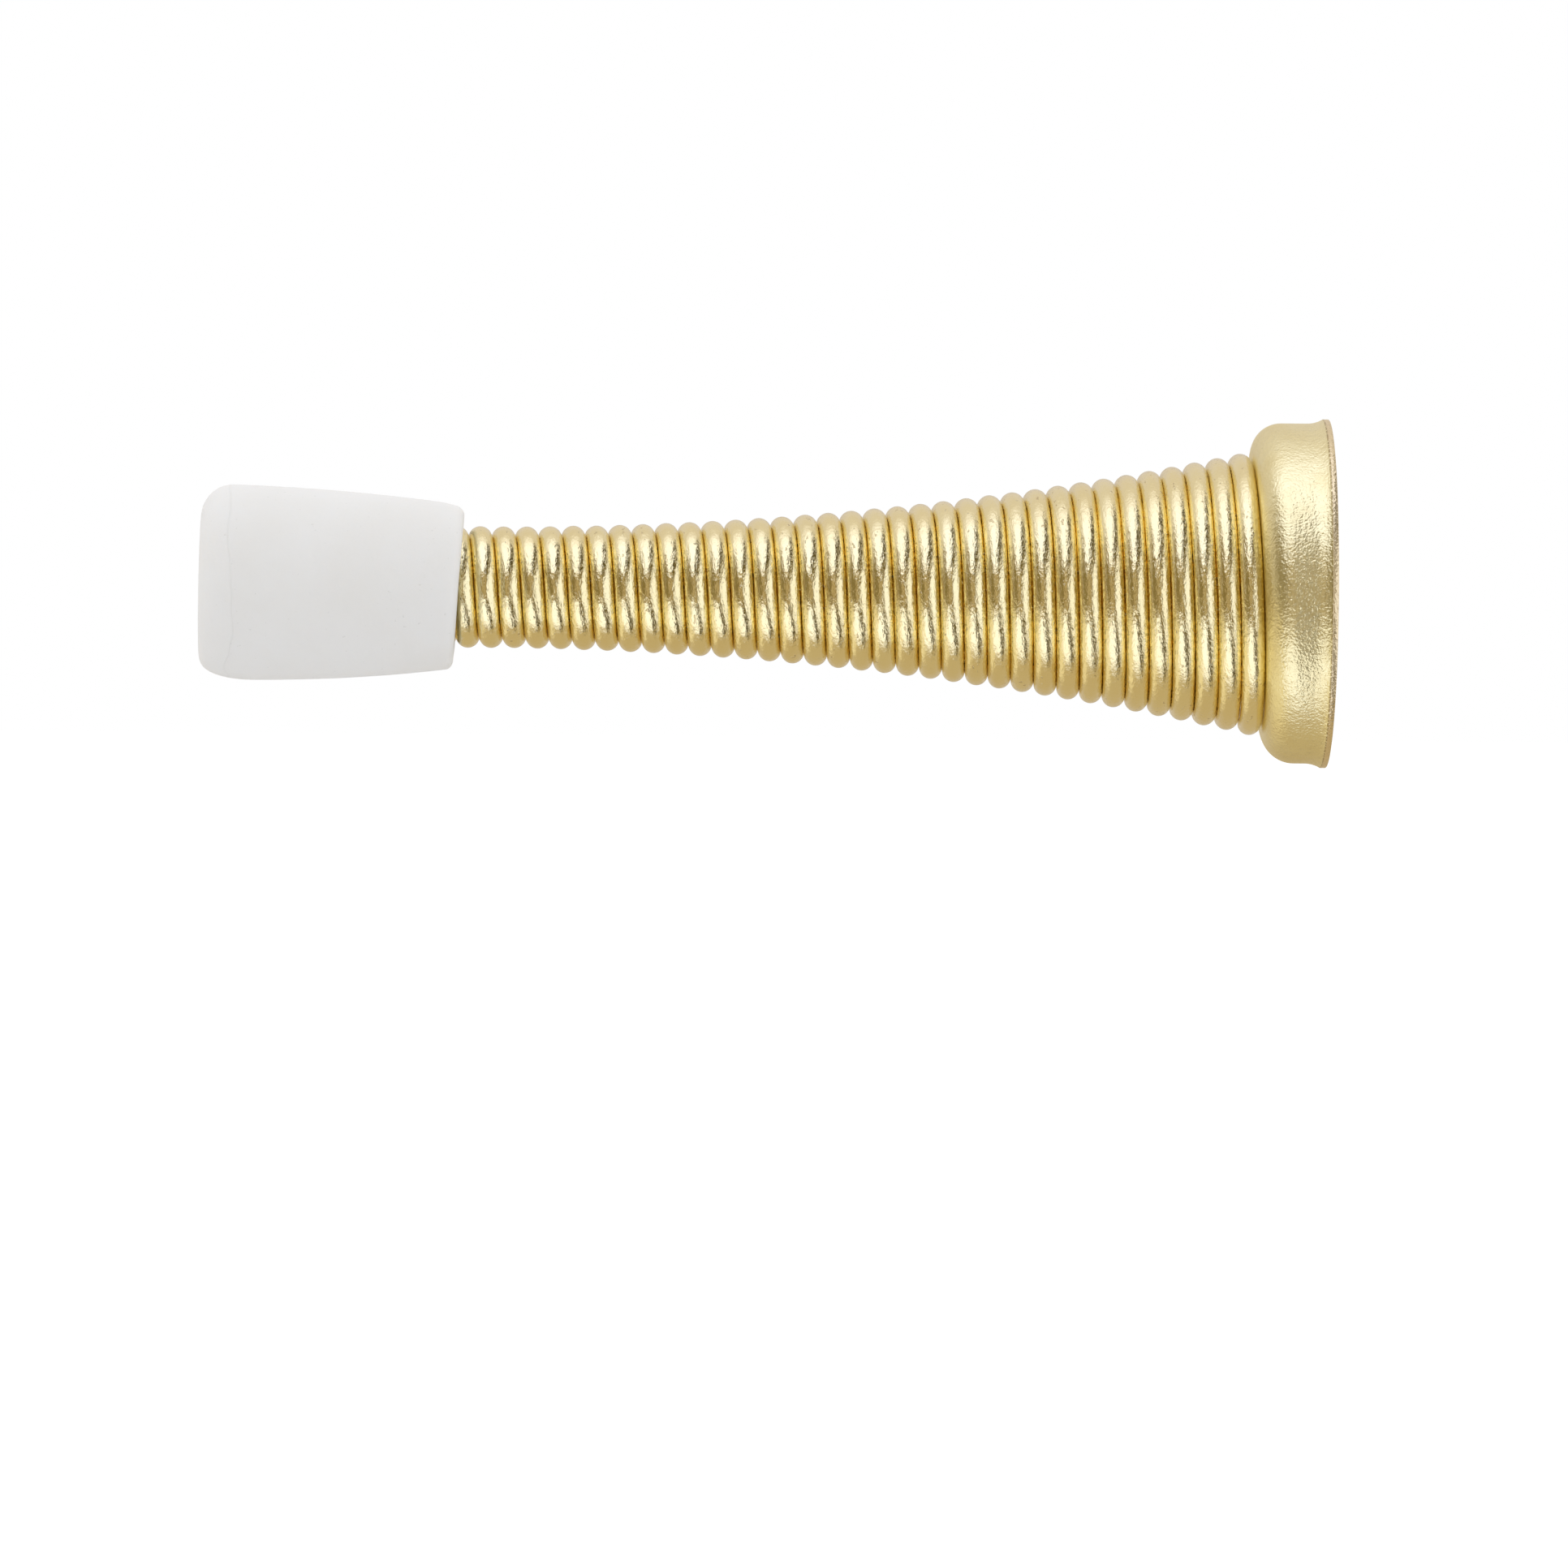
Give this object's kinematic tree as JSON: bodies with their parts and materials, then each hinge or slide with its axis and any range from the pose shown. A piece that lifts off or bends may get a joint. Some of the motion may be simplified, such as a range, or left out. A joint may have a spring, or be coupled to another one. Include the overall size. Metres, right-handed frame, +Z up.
{
  "type": "spring door stop",
  "caption": "Baseboard spring door stop: close-wound tapered brass-plated spring on a drawn round base cup, with a soft white bumper cap on its tip.",
  "frame": {"origin": "centre of the base cup's wall face, in the plane of its flared lip", "axes": "+X out of the wall face, into the wall; the bumper points to -X along the spring's axis; +Z up as fixed on a baseboard"},
  "size_m": [0.0772, 0.0238, 0.0239],
  "materials": {
    "brass_wire": "bright drawn wire, polished plating",
    "brass_sheet": "bright plated drawn sheet, slightly mottled",
    "white_rubber": "matte soft moulded"
  },
  "bodies": {
    "root": {"base_cup": "brass_sheet", "spring": "brass_wire", "bumper_cap": "white_rubber"}
  },
  "joints": []
}
